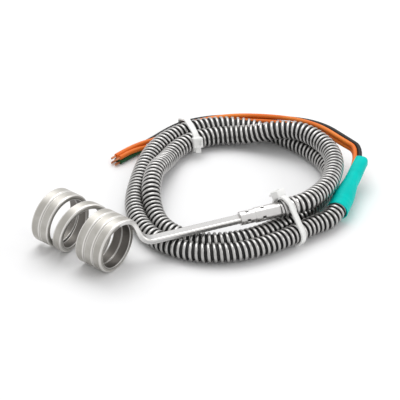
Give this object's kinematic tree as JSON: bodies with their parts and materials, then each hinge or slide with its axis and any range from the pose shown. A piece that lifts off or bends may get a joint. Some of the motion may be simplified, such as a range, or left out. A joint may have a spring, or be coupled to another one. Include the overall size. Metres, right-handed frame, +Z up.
{
  "type": "coil heater",
  "caption": "Hot runner coil heater: flat strip wound round a nozzle bore, with a transition sleeve and an armoured lead coiled and tied.",
  "frame": {"origin": "middle of the coil's mouth on the axis of its bore", "axes": "+X along the bore out of the mouth, +Z up from the surface it lies on"},
  "size_m": [0.1056, 0.1379, 0.0233],
  "materials": {
    "sheath_steel": "satin",
    "sleeve_steel": "satin",
    "conduit_steel": "satin",
    "pin_nickel": "satin",
    "potting_cement": "matte",
    "shrink_teal": "gloss",
    "lead_orange": "satin",
    "lead_black": "satin",
    "lead_green": "satin",
    "copper_strand": "satin",
    "tie_nylon": "satin"
  },
  "bodies": {
    "root": {"heater_sheath": "sheath_steel", "tip_cap": "sheath_steel", "transition_sleeve": "sleeve_steel", "sleeve_potting": "potting_cement", "end_seal": "potting_cement", "power_pin_1": "pin_nickel", "power_pin_2": "pin_nickel", "thermocouple_positive": "pin_nickel", "thermocouple_negative": "pin_nickel", "power_pin_1_splice": "copper_strand", "power_pin_2_splice": "copper_strand", "thermocouple_positive_splice": "copper_strand", "thermocouple_negative_splice": "copper_strand", "conduit_lead_in": "conduit_steel", "conduit_hank": "conduit_steel", "conduit_end": "conduit_steel", "heat_shrink": "shrink_teal", "lead_orange_1": "lead_orange", "lead_orange_2": "lead_orange", "lead_black": "lead_black", "lead_green": "lead_green", "lead_orange_1_strand": "copper_strand", "lead_orange_2_strand": "copper_strand", "lead_black_strand": "copper_strand", "lead_green_strand": "copper_strand", "cable_tie_front": "tie_nylon", "cable_tie_rear": "tie_nylon"}
  },
  "joints": []
}
